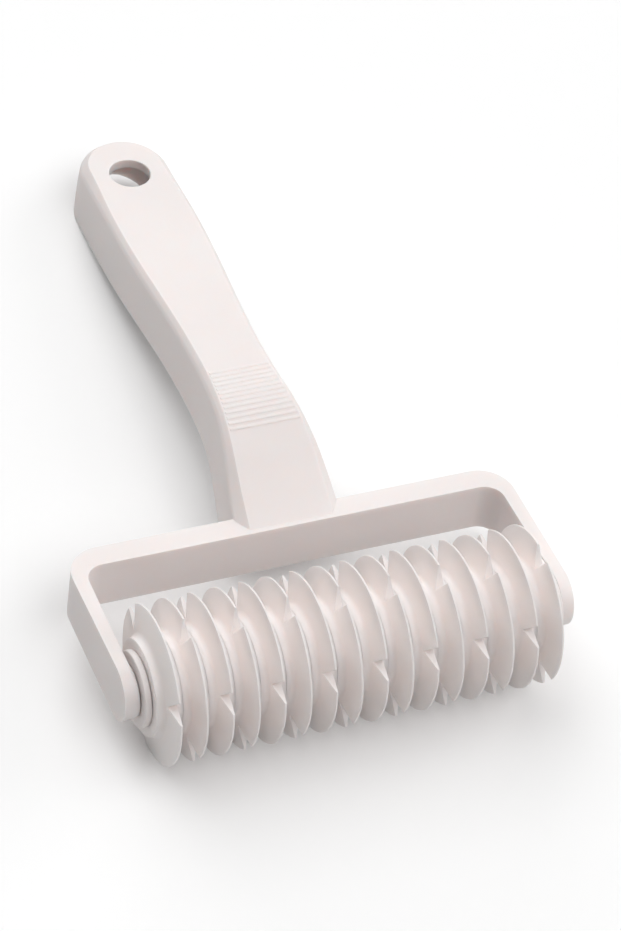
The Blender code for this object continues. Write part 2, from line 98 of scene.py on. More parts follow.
class Bench:
    """The bench: the selections and operators that every piece is shaped with."""

    @staticmethod
    def clear() -> None:
        """Leave edit mode and deselect everything."""
        if bpy.context.mode != "OBJECT":
            bpy.ops.object.mode_set(mode="OBJECT")
        bpy.ops.object.select_all(action="DESELECT")

    @staticmethod
    def hold(piece: Piece) -> None:
        """Make a piece the only one selected, and the active one.

        Args:
            piece: The piece.
        """
        Bench.clear()
        piece.select_set(True)
        bpy.context.view_layer.objects.active = piece

    @staticmethod
    def shape() -> None:
        """Go into edit mode on the piece that is held."""
        bpy.ops.object.mode_set(mode="EDIT")

    @staticmethod
    def pick(test: Test) -> None:
        """Select corners by their place, with the edges and faces that lie between them.

        Args:
            test: Says of a corner's place whether it is selected.
        """
        bpy.ops.mesh.select_all(action="DESELECT")
        mesh = bpy.context.object.data
        form = bmesh.from_edit_mesh(mesh)
        for corner in form.verts:
            if test(corner.co):
                corner.select = True
        form.select_flush(True)
        bmesh.update_edit_mesh(mesh)

    @staticmethod
    def pick_all() -> None:
        """Select every corner, edge and face."""
        bpy.ops.mesh.select_all(action="SELECT")

    @staticmethod
    def pull(across: float = 0.0, along: float = 0.0, up: float = 0.0) -> None:
        """Extrude what is selected."""
        bpy.ops.mesh.extrude_region_move(TRANSFORM_OT_translate={"value": (across, along, up)})

    @staticmethod
    def soften(reach: float, steps: int) -> None:
        """Bevel the edges that are selected."""
        bpy.ops.mesh.bevel(offset=reach, segments=steps, affect="EDGES")

    @staticmethod
    def weld() -> None:
        """Select everything and merge doubles."""
        Bench.pick_all()
        bpy.ops.mesh.remove_doubles(threshold=TINY)

    @staticmethod
    def tidy() -> None:
        """Merge doubles, turn the faces outwards and leave edit mode."""
        Bench.weld()
        bpy.ops.mesh.normals_make_consistent(inside=False)
        bpy.ops.object.mode_set(mode="OBJECT")

    @staticmethod
    def draw(name: str, corners: Places) -> Piece:
        """Draw a flat face corner by corner and stay in edit mode with it selected.

        Args:
            name: Name of the new piece.
            corners: Places of the face's corners, in order.

        Returns:
            The new piece, in edit mode.
        """
        Bench.clear()
        bpy.ops.mesh.primitive_plane_add(size=OVERRUN)
        piece = bpy.context.object
        piece.name = name
        Bench.shape()
        Bench.pick_all()
        bpy.ops.mesh.merge(type="CENTER")
        places = [Vector(corner) for corner in corners]
        bpy.ops.transform.translate(value=places[0])
        for before, after in zip(places, places[1:]):
            Bench.pull(*(after - before))
        Bench.pick_all()
        bpy.ops.mesh.edge_face_add()
        return piece

    @staticmethod
    def block(name: str, corners: Places, depth: Sequence[float]) -> Piece:
        """Draw a flat face and pull it out into a block.

        Args:
            name: Name of the new piece.
            corners: Places of the face's corners, in order.
            depth: How far the face is pulled along X, Y and Z.

        Returns:
            The finished block.
        """
        piece = Bench.draw(name, corners)
        Bench.pull(*depth)
        Bench.tidy()
        return piece

    @staticmethod
    def rod(name: str, radius: float, near: float, far: float, steps: int) -> Piece:
        """Make a round rod along the X axis.

        Args:
            name: Name of the rod.
            radius: Its radius.
            near: Where it starts along X.
            far: Where it ends.
            steps: Number of flats round it.

        Returns:
            The rod.
        """
        Bench.clear()
        bpy.ops.mesh.primitive_cylinder_add(
            vertices=steps, radius=radius, depth=abs(far - near),
            location=((near + far) / 2, 0, 0), rotation=(0, math.pi / 2, 0))
        rod = bpy.context.object
        rod.name = name
        bpy.ops.object.transform_apply(location=True, rotation=True, scale=True)
        return rod

    @staticmethod
    def round_corner(test: Test, reach: float, steps: int) -> None:
        """Round the chosen corners of a flat face.

        Args:
            test: Chooses the corners.
            reach: How far from the corner the rounding starts.
            steps: Number of short edges in the rounding.
        """
        Bench.pick(test)
        bpy.ops.mesh.bevel(affect="VERTICES", offset=reach, segments=steps)

    @staticmethod
    def modify(piece: Piece, kind: str, **settings: object) -> None:
        """Change a piece by a modifier and apply it.

        Args:
            piece: The piece that is worked on.
            kind: Kind of the modifier.
            settings: Its settings, by name.
        """
        Bench.hold(piece)
        step = piece.modifiers.new(kind, kind)
        for name, value in settings.items():
            setattr(step, name, value)
        bpy.ops.object.modifier_apply(modifier=step.name)

    @staticmethod
    def combine(piece: Piece, tool: Piece, cut: Cut) -> None:
        """Join, remove or keep what a tool covers, then put the tool away.

        Args:
            piece: The piece that is worked on.
            tool: The object that it is joined with or cut by.
            cut: What the tool does.
        """
        Bench.modify(piece, "BOOLEAN", operation=cut.value, solver="EXACT", object=tool)
        bpy.data.objects.remove(tool, do_unlink=True)

    @staticmethod
    def place(piece: Piece, turn: float, spot: Vector) -> None:
        """Turn a piece about X, move it, and work both into its mesh.

        Args:
            piece: The piece, modelled round the origin.
            turn: Angle about X.
            spot: Where the origin goes.
        """
        Bench.hold(piece)
        piece.rotation_euler.x = turn
        piece.location = spot
        bpy.ops.object.transform_apply(location=True, rotation=True, scale=True)

    @staticmethod
    def smooth(piece: Piece) -> None:
        """Shade a piece smooth between its sharp edges, with flat faces kept flat.

        Args:
            piece: The finished piece.
        """
        Bench.hold(piece)
        bpy.ops.object.shade_smooth_by_angle(angle=SHARP_TURN)
        Bench.modify(piece, "WEIGHTED_NORMAL", keep_sharp=True, weight=FLAT_WEIGHT)


def feed(tree: Tree, node: bpy.types.Node, inputs: dict[str | int, object]) -> bpy.types.Node:
    """Set the inputs of a node.

    Args:
        tree: The nodes that it belongs to.
        node: The node.
        inputs: For each input the socket that it is linked to, or its constant.

    Returns:
        The same node.
    """
    for name, value in inputs.items():
        if isinstance(value, Socket):
            tree.links.new(value, node.inputs[name])
        else:
            node.inputs[name].default_value = value
    return node


@dataclass(frozen=True)
class Pattern:
    """A cloudy pattern that sits still on the piece.

    Attributes:
        scale: Features to the metre.
        detail: Number of finer layers.
        depth: How strongly it shows.
    """

    scale: float
    detail: float
    depth: float

    def add(self, tree: Tree) -> Socket:
        """Add the pattern to a material.

        Args:
            tree: The material's nodes.

        Returns:
            The socket of its value.
        """
        place = tree.nodes.new("ShaderNodeTexCoord").outputs["Object"]
        noise = feed(tree, tree.nodes.new("ShaderNodeTexNoise"), {
            "Vector": place, "Scale": self.scale, "Detail": self.detail})
        return noise.outputs["Fac"]


@dataclass(frozen=True)
class PlasticFinish:
    """Moulded plastic: a warm, milky white with a satin grain and faint clouding.

    Attributes:
        name: Name of the material.
        colour: Linear red, green and blue.
        roughness: Mean roughness of the surface.
        milkiness: Share of the light that goes through the skin of the plastic.
        milk_reach: How far that light spreads, for red, green and blue.
        refraction: The plastic's index of refraction.
        gloss_level: How strongly the skin mirrors.
        clouds: Pattern of the colour.
        cloud_band: Values of that pattern between which the colour drifts.
        smears: Pattern of the roughness.
        grain: Pattern of the mould's texture.
        grain_strength: How much of the texture shows.
    """

    name: str
    colour: Triple
    roughness: float = 0.38
    milkiness: float = 1.0
    milk_reach: Triple = (0.0034, 0.0030, 0.0028)
    refraction: float = 1.49
    gloss_level: float = 0.42
    clouds: Pattern = Pattern(28.0, 3.0, 0.02)
    cloud_band: tuple[float, float] = (0.25, 0.75)
    smears: Pattern = Pattern(160.0, 4.0, 0.06)
    grain: Pattern = Pattern(1800.0, 2.0, 0.00001)
    grain_strength: float = 0.6

    def material(self) -> bpy.types.Material:
        """Build the node material.

        Returns:
            The new material.
        """
        material = bpy.data.materials.new(self.name)
        material.use_nodes = True
        material.diffuse_color = (*self.colour, 1.0)
        tree = material.node_tree
        ramp = feed(tree, tree.nodes.new("ShaderNodeValToRGB"), {"Fac": self.clouds.add(tree)})
        shares = (1 - self.clouds.depth, 1 + self.clouds.depth)
        for end, value, share in zip(ramp.color_ramp.elements, self.cloud_band, shares):
            end.position = value
            end.color = (*(min(channel * share, 1.0) for channel in self.colour), 1.0)
        rough = feed(tree, tree.nodes.new("ShaderNodeMapRange"), {
            "Value": self.smears.add(tree), "To Min": self.roughness - self.smears.depth,
            "To Max": self.roughness + self.smears.depth})
        bump = feed(tree, tree.nodes.new("ShaderNodeBump"), {
            "Height": self.grain.add(tree), "Distance": self.grain.depth,
            "Strength": self.grain_strength})
        feed(tree, tree.nodes["Principled BSDF"], {
            "Base Color": ramp.outputs["Color"], "Roughness": rough.outputs["Result"],
            "Normal": bump.outputs["Normal"], "IOR": self.refraction,
            "Specular IOR Level": self.gloss_level, "Subsurface Weight": self.milkiness,
            "Subsurface Radius": self.milk_reach, "Subsurface Scale": 1.0})
        return material

    def dress(self, piece: Piece, slot: Slot, body: Body, *nodes: str) -> None:
        """Give a piece its finish and its place in the frame.

        Args:
            piece: The finished piece.
            slot: The record's slot for the finish; not used.
            body: The body that it rides on.
            nodes: The CAD nodes that it stands for.
        """
        piece.data.materials.clear()
        piece.data.materials.append(self.material())
        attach(piece, body.value)
        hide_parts(*nodes)


@dataclass(frozen=True)
class RollerSizes:
    """Sizes of the roller that its neighbours also need."""

    disc_count: int = 16
    disc_pitch: float = 0.0068
    rim_radius: float = 0.0205
    axle_sides: int = 6
    axle_flats: float = 0.0080
    journal_radius: float = 0.0030
    journal_length: float = 0.0026
    collar_thickness: float = 0.0017

    @property
    def collar_inner(self) -> float:
        """Distance from the middle of the roller to the inner face of a collar."""
        return (self.disc_count * self.disc_pitch + SEAT_GAP) / 2

    @property
    def collar_outer(self) -> float:
        """Distance from the middle of the roller to the outer face of a collar."""
        return self.collar_inner + self.collar_thickness

    def bore(self, reach: float) -> Piece:
        """Make the tool that opens a bore for the hexagonal axle.

        Args:
            reach: How far it runs to each side.

        Returns:
            The hexagonal tool, two of its corners straight above and below the axle.
        """
        across_flats = self.axle_flats + 2 * SEAT_GAP
        across_corners = across_flats / 2 / math.cos(math.pi / self.axle_sides)
        corners = []
        for index in range(self.axle_sides):
            turn = math.pi / 2 + index * math.tau / self.axle_sides
            corners.append((-reach, across_corners * math.cos(turn),
                            across_corners * math.sin(turn)))
        return Bench.block("bore", corners, (2 * reach, 0, 0))


@dataclass
class Yoke:
    """The yoke: a back bar and two arms, with a bearing boss inside the end of each arm."""

    roller: RollerSizes
    roller_clearance: float = 0.0156
    bar_thickness: float = 0.0062
    bar_height: float = 0.0145
    arm_tip_height: float = 0.0158
    arm_tip_setback: float = 0.0010
    arm_tip_thickness: float = 0.0031
    arm_root_thickness: float = 0.0037
    outer_corner_radius: float = 0.0090
    inner_corner_radius: float = 0.0050
    edge_radius: float = 0.0006
    edge_turn: float = math.radians(40.0)
    edge_steps: int = 3
    boss_radius: float = 0.0069
    boss_height: float = 0.0009
    boss_round: float = 0.0003
    boss_edge_steps: int = 2
    corner_steps: int = 14
    round_steps: int = 64

    @property
    def bar_front(self) -> float:
        """Distance from the axle to the bar's front."""
        return self.roller.rim_radius + self.roller_clearance

    @property
    def bar_rear(self) -> float:
        """Distance from the axle to the bar's back."""
        return self.bar_front + self.bar_thickness

    @property
    def bar_top(self) -> float:
        """Height of the bar's top above the axle."""
        return self.bar_height / 2

    @property
    def boss_end(self) -> float:
        """Distance from the middle to the face of a boss."""
        return self.roller.collar_outer + SEAT_GAP

    @property
    def arm_inner(self) -> float:
        """Distance from the middle to the inner face of an arm's tip."""
        return self.boss_end + self.boss_height

    @property
    def arm_outer(self) -> float:
        """Distance from the middle to the outer face of an arm."""
        return self.arm_inner + self.arm_tip_thickness

    def strap(self) -> Piece:
        """Shape the bent strap that makes the bar and both arms.

        Returns:
            The strap, with rounded corners and edges.
        """
        level = -self.arm_tip_height
        front = level / 2 - OVERRUN
        wide = self.arm_outer
        strap = Bench.draw("strap", [(-wide, front, level), (wide, front, level),
                                     (wide, self.bar_rear, level), (-wide, self.bar_rear, level)])
        Bench.round_corner(lambda spot: spot.y > 0, self.outer_corner_radius, self.corner_steps)
        Bench.pick_all()
        Bench.pull(up=-2 * level)
        Bench.tidy()
        Bench.combine(strap, self.opening(), Cut.REMOVE)
        Bench.combine(strap, self.side(), Cut.KEEP)
        Bench.modify(strap, "BEVEL", width=self.edge_radius, segments=self.edge_steps,
                     limit_method="ANGLE", angle_limit=self.edge_turn)
        return strap

    def opening(self) -> Piece:
        """Make the tool that opens the space between the arms, which thicken towards the bar.

        Returns:
            The tool.
        """
        front = -self.arm_tip_height
        level = 2 * front
        narrow = self.arm_outer - self.arm_root_thickness
        bend = self.bar_front - self.inner_corner_radius
        corners = [(-self.arm_inner, front, level), (self.arm_inner, front, level),
                   (narrow, bend, level), (narrow, self.bar_front, level),
                   (-narrow, self.bar_front, level), (-narrow, bend, level)]
        tool = Bench.draw("opening", corners)
        Bench.round_corner(lambda spot: spot.y > bend + TINY,
                           self.inner_corner_radius, self.corner_steps)
        Bench.pick_all()
        Bench.pull(up=-2 * level)
        Bench.tidy()
        return tool

    def side(self) -> Piece:
        """Make the strap's outline seen from the side, with a round nose at the axle.

        Returns:
            The outline pulled out across the yoke.
        """
        across = self.arm_outer + OVERRUN
        nose = self.arm_tip_height / 2
        tip = self.arm_tip_setback - nose
        back = self.bar_rear + OVERRUN
        line = [(tip, nose), (self.arm_tip_setback, nose), (self.bar_front, self.bar_top),
                (back, self.bar_top)]
        corners = [(-across, along, level) for along, level in line]
        corners += [(-across, along, -level) for along, level in reversed(line)]
        tool = Bench.draw("side", corners)
        Bench.round_corner(lambda spot: spot.y < tip + TINY, nose, self.corner_steps)
        Bench.weld()
        Bench.pick_all()
        Bench.pull(across=2 * across)
        Bench.tidy()
        return tool

    def add_bosses(self, strap: Piece) -> None:
        """Join a rounded bearing boss to the inner face of each arm.

        Args:
            strap: The piece with the arms.
        """
        for side in (-1, 1):
            inside = side * (self.arm_inner + self.arm_tip_thickness / 2)
            boss = Bench.rod("boss", self.boss_radius, side * self.boss_end, inside,
                             self.round_steps)
            Bench.shape()
            Bench.pick(lambda spot: abs(spot.x) < self.boss_end + TINY)
            Bench.soften(self.boss_round, self.boss_edge_steps)
            Bench.tidy()
            Bench.combine(strap, boss, Cut.JOIN)

    def open_sockets(self, strap: Piece) -> None:
        """Sink a blind socket for the axle's journal into each boss.

        Args:
            strap: The piece with the bosses.
        """
        radius = self.roller.journal_radius + SEAT_GAP
        mouth = self.boss_end - OVERRUN
        bottom = self.roller.collar_outer + self.roller.journal_length + SEAT_GAP
        for side in (-1, 1):
            socket = Bench.rod("socket", radius, side * mouth, side * bottom, self.round_steps)
            Bench.combine(strap, socket, Cut.REMOVE)


@dataclass
class Grip:
    """The handle: a hollow shell that climbs from the bar, bends and runs out to a round tip."""

    yoke: Yoke
    panel_setback: float = 0.0013
    ramp_run: float = 0.0235
    ramp_rise: float = 0.0161
    top_bend_radius: float = 0.0350
    length: float = 0.1279
    fall: float = 0.0019
    belly_run: float = 0.0259
    belly_bend_radius: float = 0.0300
    depth_at_bend: float = 0.0164
    arch_distance: float = 0.0624
    arch_radius: float = 0.3000
    depth_at_arch: float = 0.0154
    depth_at_tip: float = 0.0174
    heel_lift: float = 0.0080
    heel_radius: float = 0.0150
    root_half_width: float = 0.0113
    waist_half_width: float = 0.0085
    waist_distance: float = 0.0485
    swell_half_width: float = 0.0108
    swell_distance: float = 0.1050
    tip_radius: float = 0.0101
    edge_facet: float = 0.0015
    root_edge_facet: float = 0.0031
    root_edge_length: float = 0.0300
    tip_edge_facet: float = 0.0021
    crease_reach: float = 0.00012
    shoulder_reach: float = 0.0009
    side_draft: float = math.radians(3.0)
    side_bulge_depth: float = 0.0160
    wall: float = 0.0027
    side_wall: float = 0.0020
    hollow_corner: float = 0.0018
    rib_count: int = 4
    rib_thickness: float = 0.0016
    rib_recess: float = 0.0035
    hole_radius: float = 0.0056
    hole_lip: float = 0.0003
    hole_setback: float = 0.0035
    ridge_count: int = 13
    ridge_pitch: float = 0.00162
    ridge_width: float = 0.0010
    ridge_height: float = 0.00025
    ridge_margin: float = 0.0004
    ridge_start: float = 0.0226
    side_depth: float = 0.0320
    station_pitch: float = 0.0022
    bend_steps: int = 20
    tip_steps: int = 20
    edge_steps: int = 6
    crease_steps: int = 3
    side_steps: int = 7
    hole_steps: int = 72
    lip_steps: int = 5
    ridge_steps: int = 16
    ridge_end_steps: int = 2

    @property
    def start(self) -> float:
        """Distance from the axle to where the top panel leaves the bar."""
        return self.yoke.bar_front + self.panel_setback

    @property
    def tip_centre(self) -> float:
        """Distance from the axle to the centre of the round tip."""
        return self.start + self.length

    @property
    def tip_reach(self) -> float:
        """Distance from the axle to the end of the handle."""
        return (self.tip_centre + self.tip_radius + self.tip_edge_facet
                + self.depth_at_tip * math.tan(self.side_draft))

    @property
    def hole_place(self) -> float:
        """Distance from the axle to the hanging hole."""
        return self.tip_centre - self.hole_setback

    def rounded(self, corners: Line, radii: Sequence[float]) -> Line:
        """Round the inner corners of an open line with arcs that touch both sides.

        Args:
            corners: Corners of the line, as (along, height).
            radii: A radius for each inner corner.

        Returns:
            The points of the rounded line.
        """
        line = [corners[0]]
        for before, corner, after, radius in zip(corners, corners[1:], corners[2:], radii):
            middle = Vector(corner)
            back = (Vector(before) - middle).normalized()
            ahead = (Vector(after) - middle).normalized()
            half = back.angle(ahead) / 2
            centre = middle + (back + ahead).normalized() * radius / math.sin(half)
            first = middle + back * radius / math.tan(half) - centre
            last = middle + ahead * radius / math.tan(half) - centre
            sweep = first.angle(last)
            for step in range(self.bend_steps + 1):
                share = step / self.bend_steps
                point = first * math.sin((1 - share) * sweep) + last * math.sin(share * sweep)
                line.append(tuple(centre + point / math.sin(sweep)))
        line.append(corners[-1])
        return line

    def top(self) -> Line:
        """Give the top panel's line seen from the side, begun inside the bar.

        Returns:
            Its points.
        """
        bend = (self.start + self.ramp_run, self.yoke.bar_top + self.ramp_rise)
        slope = self.ramp_rise / self.ramp_run
        first = (self.start - self.panel_setback / 2,
                 self.yoke.bar_top - slope * self.panel_setback / 2)
        return self.rounded([first, bend, (self.tip_reach, bend[1] - self.fall)],
                            [self.top_bend_radius])

    def underside(self) -> Line:
        """Give the line of the handle's lower edge, from inside the bar to the heel.

        Returns:
            Its points.
        """
        top = self.top()
        foot = -self.yoke.bar_top + self.yoke.edge_radius
        rear = self.yoke.bar_rear
        crown = self.yoke.bar_top + self.ramp_rise
        arch = rear + self.arch_distance
        heel = self.tip_reach - self.heel_lift
        heel_height = self.height(top, heel) - self.depth_at_tip
        corners = [
            (rear, foot),
            (rear + self.belly_run, crown - self.depth_at_bend),
            (arch, self.height(top, arch) - self.depth_at_arch),
            (heel, heel_height),
            (self.tip_reach + OVERRUN, heel_height + self.heel_lift + OVERRUN),
        ]
        radii = [self.belly_bend_radius, self.arch_radius, self.heel_radius]
        return [(self.yoke.bar_front, foot)] + self.rounded(corners, radii)

    @staticmethod
    def height(line: Line, along: float) -> float:
        """Read the height of a line at a distance from the axle.

        Args:
            line: Points of the line, as (along, height).
            along: The distance from the axle.

        Returns:
            The height there.
        """
        for (near, low), (far, high) in zip(line, line[1:]):
            if along <= far:
                return low + (high - low) * (along - near) / (far - near)
        return line[-1][1]

    @staticmethod
    def ease(share: float) -> float:
        """Change smoothly from 0 to 1, with level ends."""
        return (1 - math.cos(math.pi * min(max(share, 0.0), 1.0))) / 2

    def half_width(self, along: float) -> float:
        """Give half the width of the flat top panel.

        Args:
            along: Distance from the axle.

        Returns:
            Half the width there, from the root to the waist, the swell and the tip.
        """
        waist = self.start + self.waist_distance
        swell = self.start + self.swell_distance
        if along < waist:
            near, far = self.root_half_width, self.waist_half_width
            share = (along - self.start) / self.waist_distance
        elif along < swell:
            near, far = self.waist_half_width, self.swell_half_width
            share = (along - waist) / (swell - waist)
        else:
            near, far = self.swell_half_width, self.tip_radius
            share = (along - swell) / (self.tip_centre - swell)
        return near + (far - near) * self.ease(share)

    def facet(self, along: float) -> float:
        """Give the reach of the facet along the panel's edges.

        Args:
            along: Distance from the axle.

        Returns:
            The reach there, which opens out towards the yoke and towards the tip.
        """
        swell = self.start + self.swell_distance
        rooted = self.ease((self.start + self.root_edge_length - along) / self.root_edge_length)
        tipped = self.ease((along - swell) / (self.tip_centre - swell))
        return (self.edge_facet + (self.root_edge_facet - self.edge_facet) * rooted
                + (self.tip_edge_facet - self.edge_facet) * tipped)

    def stations(self, start: float) -> list[float]:
        """Give the places along the handle at which its section is set.

        Args:
            start: Where the section starts.

        Returns:
            Places from there to the centre of the tip, with every point of the bend among them.
        """
        count = math.ceil((self.tip_centre - start) / self.station_pitch)
        even = [start + (self.tip_centre - start) * step / count for step in range(count + 1)]
        bend = [along for along, _ in self.top()[1:-1]]
        straight = [along for along in even if not bend[0] - TINY <= along <= bend[-1] + TINY]
        return sorted(along for along in straight + bend if start <= along <= self.tip_centre)

    def shell(self) -> Piece:
        """Pull half the outer section, panel, facet and bulging side, from the bar to the tip.

        Returns:
            A closed form with drafted sides that runs below the handle.
        """
        start, crest = self.top()[0]
        wide, facet = self.half_width(start), self.facet(start)
        shoulder = crest - facet
        bulge = self.side_bulge_depth * math.tan(self.side_draft)
        corners = [(0, start, crest), (wide, start, crest)]
        for step in range(self.side_steps + 1):
            share = step / self.side_steps
            corners.append((wide + facet + bulge * share * (2 - share), start,
                            shoulder - self.side_bulge_depth * share))
        deep = crest - self.side_depth
        corners += [(corners[-1][0], start, deep), (0, start, deep)]
        piece = Bench.draw("shell", corners)
        Bench.round_corner(lambda spot: abs(spot.z - shoulder) < TINY,
                           self.shoulder_reach, self.edge_steps)
        Bench.round_corner(lambda spot: spot.z > crest - TINY and spot.x > TINY,
                           self.crease_reach, self.crease_steps)
        self.pull_along(start, crest, 2 * self.crease_reach)
        return self.close(piece)

    def cavity(self) -> Piece:
        """Pull half the hollow's section, a wall inside the skin, from the bar to the tip.

        Returns:
            A closed form that runs below the handle.
        """
        start = self.yoke.bar_rear + self.wall
        wide = self.half_width(start) + self.facet(start) - self.side_wall
        crest = self.height(self.top(), start) - self.wall
        deep = crest - self.side_depth
        spread = self.side_depth * math.tan(self.side_draft)
        piece = Bench.draw("hollow", [(0, start, crest), (wide, start, crest),
                                      (wide + spread, start, deep), (0, start, deep)])
        Bench.round_corner(lambda spot: spot.z > crest - TINY and spot.x > TINY,
                           self.hollow_corner, self.edge_steps)
        self.pull_along(start, crest, 0.0)
        return self.close(piece)

    def pull_along(self, start: float, crest: float, fold: float) -> None:
        """Pull the half section from station to station and spin it round the tip.

        Args:
            start: Distance from the axle of the first station.
            crest: Height of the section's top there.
            fold: Depth below the top at which the shoulder parts from the crease, or zero where
                the whole side moves as one.
        """
        top = self.top()
        places = self.stations(start)
        for before, here in zip(places, places[1:]):
            higher = self.height(top, here) - self.height(top, before)
            wider = self.half_width(here) - self.half_width(before)
            opened = self.facet(here) - self.facet(before)
            Bench.pick(lambda spot: abs(spot.y - before) < TINY)
            Bench.pull(along=here - before, up=higher)
            crest += higher
            Bench.pick(lambda spot: abs(spot.y - here) < TINY and spot.x > TINY)
            bpy.ops.transform.translate(value=(wider if fold else wider + opened, 0, 0))
            if fold and abs(opened) > TINY / len(places):
                Bench.pick(lambda spot: abs(spot.y - here) < TINY and spot.x > TINY
                           and crest - self.side_depth + TINY < spot.z < crest - fold)
                bpy.ops.transform.translate(value=(opened, 0, -opened))
                Bench.pick(lambda spot: abs(spot.y - here) < TINY and spot.x > TINY
                           and spot.z < crest - self.side_depth + TINY)
                bpy.ops.transform.translate(value=(opened, 0, 0))
        centre = (0, self.tip_centre, crest)
        near, far = top[-2:]
        fall = math.atan2(near[1] - far[1], far[0] - near[0])
        Bench.pick(lambda spot: abs(spot.y - self.tip_centre) < TINY)
        bpy.ops.transform.rotate(value=fall, orient_axis="X", center_override=centre)
        bpy.ops.mesh.spin(steps=self.tip_steps, angle=-math.pi / 2, center=centre,
                          axis=(0, math.sin(fall), math.cos(fall)))
        Bench.weld()

    @staticmethod
    def close(piece: Piece) -> Piece:
        """Open the middle of a half form and mirror the other side.

        Args:
            piece: The half form, in edit mode.

        Returns:
            The closed form.
        """
        Bench.pick(lambda spot: abs(spot.x) < TINY)
        bpy.ops.mesh.delete(type="FACE")
        Bench.tidy()
        Bench.modify(piece, "MIRROR", merge_threshold=TINY)
        Bench.shape()
        Bench.tidy()
        return piece

    def belly(self) -> Piece:
        """Make the tool that cuts away what lies below the handle's lower edge.

        Returns:
            The tool.
        """
        wide = self.root_half_width + self.root_edge_facet + 2 * OVERRUN
        line = self.underside()
        front, foot = line[0]
        below = -self.side_depth
        outline = [(front - OVERRUN, below), (front - OVERRUN, foot), *line, (line[-1][0], below)]
        corners = [(-wide, along, level) for along, level in outline]
        return Bench.block("belly", corners, (2 * wide, 0, 0))

    def hollow(self) -> Piece:
        """Make the hollow under the handle, less the four ribs that cross it.

        Returns:
            The tool that opens the hollow.
        """
        start = self.yoke.bar_rear + self.wall
        hollow = self.cavity()
        top, under = self.top(), self.underside()
        reach = self.hole_place - self.hole_radius - self.wall - start
        wide = self.root_half_width + self.root_edge_facet + OVERRUN
        for index in range(self.rib_count):
            near = start + reach * (index + 1) / self.rib_count - self.rib_thickness / 2
            far = near + self.rib_thickness
            above = max(self.height(top, near), self.height(top, far)) + OVERRUN
            foot = max(self.height(under, near), self.height(under, far)) + self.rib_recess
            rib = Bench.block("rib", [(-wide, near, foot), (wide, near, foot),
                                      (wide, near, above), (-wide, near, above)],
                              (0, self.rib_thickness, 0))
            Bench.combine(hollow, rib, Cut.REMOVE)
        return hollow

    def hole(self) -> Piece:
        """Make the tool for the hanging hole, flared to a rounded lip.

        Returns:
            The tool.
        """
        crest = self.height(self.top(), self.hole_place)
        bottom = crest - self.wall - OVERRUN
        throat = crest - self.hole_lip
        Bench.clear()
        bpy.ops.mesh.primitive_cylinder_add(
            vertices=self.hole_steps, radius=self.hole_radius, depth=throat - bottom,
            location=(0, self.hole_place, (throat + bottom) / 2))
        tool = bpy.context.object
        tool.name = "hole"
        bpy.ops.object.transform_apply(location=True, rotation=True, scale=True)
        Bench.shape()
        radius, level = self.hole_radius, throat
        for step in range(1, self.lip_steps + 1):
            turn = math.pi / 2 * step / self.lip_steps
            wider = self.hole_radius + self.hole_lip * (1 - math.cos(turn))
            higher = throat + self.hole_lip * math.sin(turn)
            Bench.pick(lambda spot: spot.z > level - TINY)
            Bench.pull(up=higher - level)
            bpy.ops.transform.resize(value=(wider / radius, wider / radius, 1),
                                     center_override=(0, self.hole_place, higher))
            radius, level = wider, higher
        Bench.pick(lambda spot: spot.z > level - TINY)
        Bench.pull(up=OVERRUN)
        Bench.tidy()
        return tool

    def ridge(self, spot: float) -> Piece:
        """Make one low ridge: a flattened rod with rounded ends, laid along the panel's slope.

        Args:
            spot: Distance from the axle.

        Returns:
            The ridge.
        """
        top = self.top()
        rise = (self.height(top, spot + TINY) - self.height(top, spot - TINY)) / (2 * TINY)
        reach = self.half_width(spot) - self.ridge_margin
        ridge = Bench.rod("ridge", self.ridge_width / 2, -reach, reach, self.ridge_steps)
        Bench.shape()
        Bench.pick_all()
        flat = self.ridge_height / (self.ridge_width / 2)
        bpy.ops.transform.resize(value=(1, 1, flat))
        for side in (-1, 1):
            Bench.pick(lambda place: place.x * side > 0)
            Bench.soften(self.ridge_height / 2, self.ridge_end_steps)
        Bench.tidy()
        Bench.place(ridge, math.atan(rise), Vector((0, spot, self.height(top, spot))))
        return ridge

    def ridges(self) -> Piece:
        """Join the low ridges across the bend, which the thumb presses on.

        Returns:
            All ridges as one tool.
        """
        pieces = [self.ridge(self.start + self.ridge_start + index * self.ridge_pitch)
                  for index in range(self.ridge_count)]
        Bench.hold(pieces[0])
        for piece in pieces:
            piece.select_set(True)
        bpy.ops.object.join()
        return bpy.context.object


@dataclass
class HandleFrame:
    """The one-piece moulding: the yoke, its bosses and the hollow handle with its thumb ridges."""

    yoke: Yoke
    grip: Grip
    finish: PlasticFinish

    def build(self) -> Piece:
        """Build and dress the moulding.

        Returns:
            The finished piece.
        """
        piece = self.yoke.strap()
        shell = self.grip.shell()
        Bench.combine(shell, self.grip.ridges(), Cut.JOIN)
        Bench.combine(shell, self.grip.belly(), Cut.REMOVE)
        Bench.combine(piece, shell, Cut.JOIN)
        self.yoke.add_bosses(piece)
        Bench.combine(piece, self.grip.hollow(), Cut.REMOVE)
        Bench.combine(piece, self.grip.hole(), Cut.REMOVE)
        self.yoke.open_sockets(piece)
        piece.name = "handle_moulding"
        Bench.place(piece, RESTING_TILT, AXLE_PLACE)
        Bench.smooth(piece)
        self.finish.dress(piece, Slot.FRAME, Body.HANDLE, "handle_frame")
        return piece


